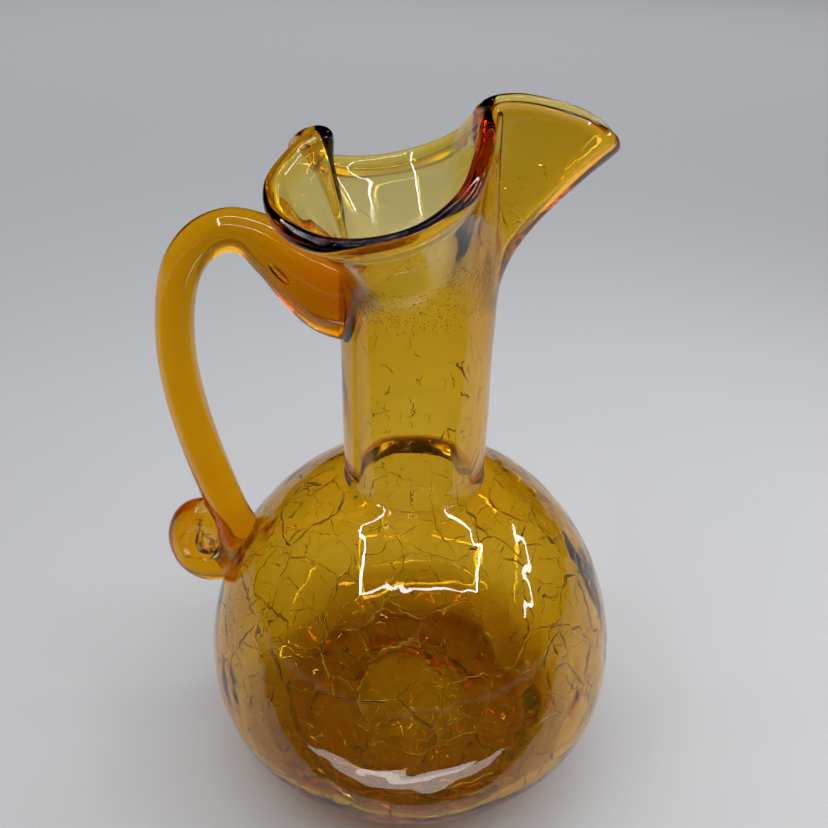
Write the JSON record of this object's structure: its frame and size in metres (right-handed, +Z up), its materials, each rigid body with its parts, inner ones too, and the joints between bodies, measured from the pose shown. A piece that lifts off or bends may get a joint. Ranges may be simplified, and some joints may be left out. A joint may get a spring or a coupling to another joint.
{
  "type": "glass pitcher",
  "caption": "Small hand-blown amber crackle glass pitcher: round body, straight neck, pinched flared mouth with a beak spout, applied rod handle with a curled tail.",
  "frame": {"origin": "Centre of the resting ring on the underside, on the axis of the body and neck.", "axes": "+Z up along the neck; +X towards the spout; the handle is on the -X side; +Y completes the right-handed frame."},
  "size_m": [0.0982, 0.09, 0.1425],
  "materials": {
    "amber_glass": "clear amber crackle glass with a fire-polished rim",
    "handle_glass": "smooth clear amber glass, deeper in colour where it is thick"
  },
  "bodies": {
    "root": {"vessel": "amber_glass", "handle": "handle_glass"}
  },
  "joints": []
}
